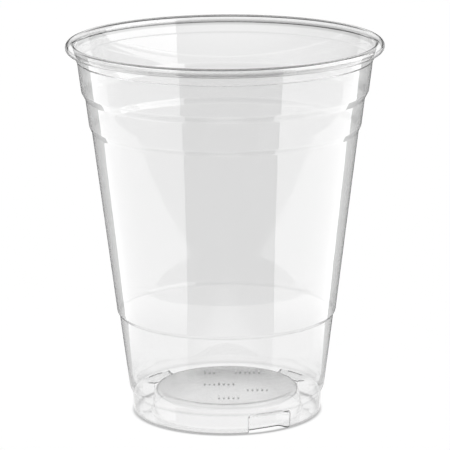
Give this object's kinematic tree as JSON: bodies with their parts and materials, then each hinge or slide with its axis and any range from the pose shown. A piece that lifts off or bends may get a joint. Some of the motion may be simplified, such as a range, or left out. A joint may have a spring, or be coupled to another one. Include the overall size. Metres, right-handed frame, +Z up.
{
  "type": "disposable plastic cup",
  "caption": "Clear thermoformed drinking cup with a rolled rim, grip steps, a stacking ledge and a raised base.",
  "frame": {"origin": "middle of the foot, on the surface that the cup stands on", "axes": "+Z up along the cup's axis, towards the open rim; -Y is the front"},
  "size_m": [0.098, 0.098, 0.1175],
  "materials": {
    "clear_sheet": "clear polished PET sheet, thermoformed"
  },
  "bodies": {
    "root": {"cup": "clear_sheet"}
  },
  "joints": []
}
